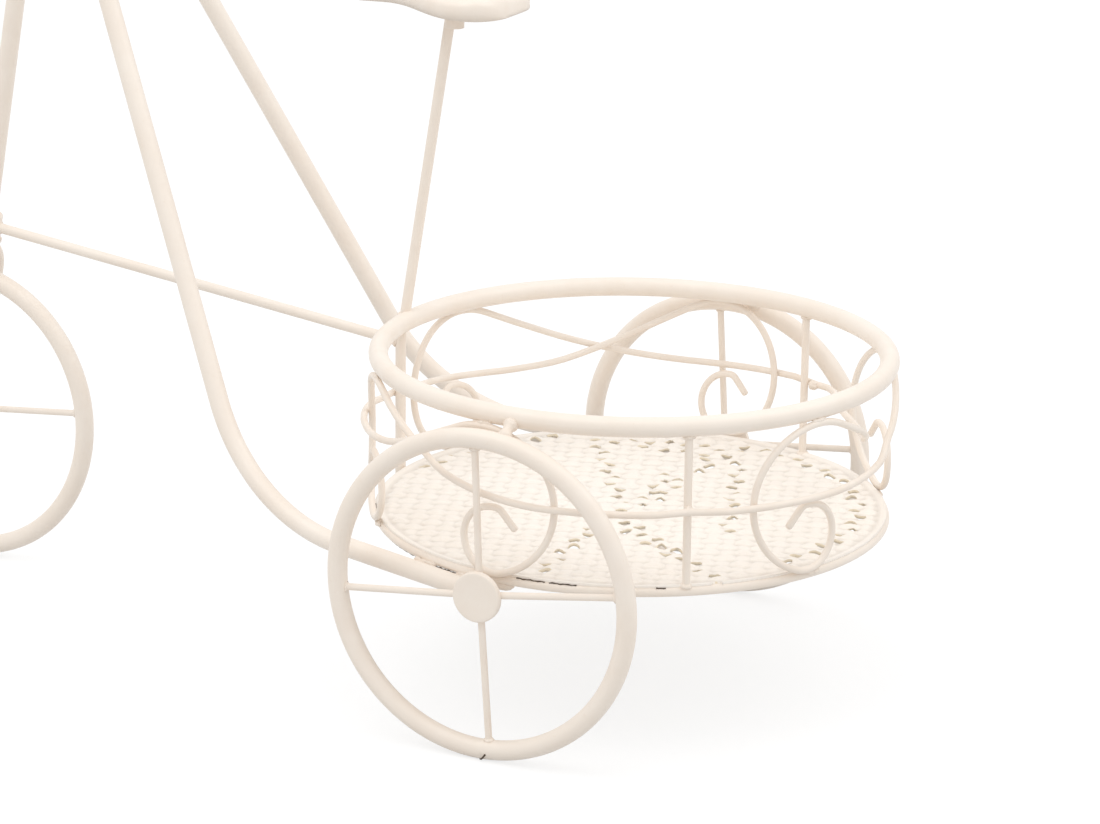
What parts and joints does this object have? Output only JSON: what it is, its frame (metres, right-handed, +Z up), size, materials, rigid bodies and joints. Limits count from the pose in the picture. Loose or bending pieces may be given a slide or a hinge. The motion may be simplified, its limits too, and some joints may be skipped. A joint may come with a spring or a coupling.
{
  "type": "tricycle plant stand",
  "caption": "Tricycle-shaped plant stand of painted tube and wire, with a round scroll-wire basket between its rear wheels, a saddle and a steered front wheel.",
  "frame": {"origin": "on the ground, under the middle of the overall length and width", "axes": "+X runs to the rear, so the steered front wheel is at -X; -Y is the near side; +Z is up"},
  "size_m": [0.6354, 0.298, 0.5241],
  "materials": {
    "cream_paint": "smooth semi-gloss cream paint over welded steel",
    "grip": "moulded cream plastic with fine ribs"
  },
  "bodies": {
    "stand": {"top_ring": "cream_paint", "floor_ring": "cream_paint", "floor_sheet": "cream_paint", "wall_posts": "cream_paint", "front_upright": "cream_paint", "front_scroll_wire": "cream_paint", "near_scroll_wire": "cream_paint", "far_scroll_wire": "cream_paint", "rear_axle": "cream_paint", "near_rim": "cream_paint", "near_spokes": "cream_paint", "near_hub_disc": "cream_paint", "far_rim": "cream_paint", "far_spokes": "cream_paint", "far_hub_disc": "cream_paint", "wheel_lugs": "cream_paint", "near_frame_tube": "cream_paint", "far_frame_tube": "cream_paint", "brace_rod": "cream_paint", "seat_post": "cream_paint", "saddle": "cream_paint", "saddle_socket": "cream_paint", "head_sleeve": "cream_paint", "lower_sleeve": "cream_paint"},
    "steering": {"steering_column": "cream_paint", "fork": "cream_paint", "stem_clamp": "cream_paint", "clamp_bolt": "cream_paint", "handlebar": "cream_paint", "near_grip": "grip", "far_grip": "grip", "upper_washer": "cream_paint", "front_axle": "cream_paint", "axle_nuts": "cream_paint", "axle_spacers": "cream_paint", "lower_washer": "cream_paint"},
    "front_wheel": {"front_rim": "cream_paint", "front_spokes": "cream_paint", "front_hub": "cream_paint"}
  },
  "joints": [
    {"name": "steering_turn", "type": "hinge", "parent": "stand", "child": "steering", "pos_m": [-0.23332, 0, 0.0845], "axis": [0.1736, 0, 0.9848], "range_deg": [-38, 38]},
    {"name": "front_wheel_spin", "type": "hinge", "parent": "steering", "child": "front_wheel", "pos_m": [-0.23332, 0, 0.0845], "axis": [0, 1, 0], "continuous": true}
  ]
}
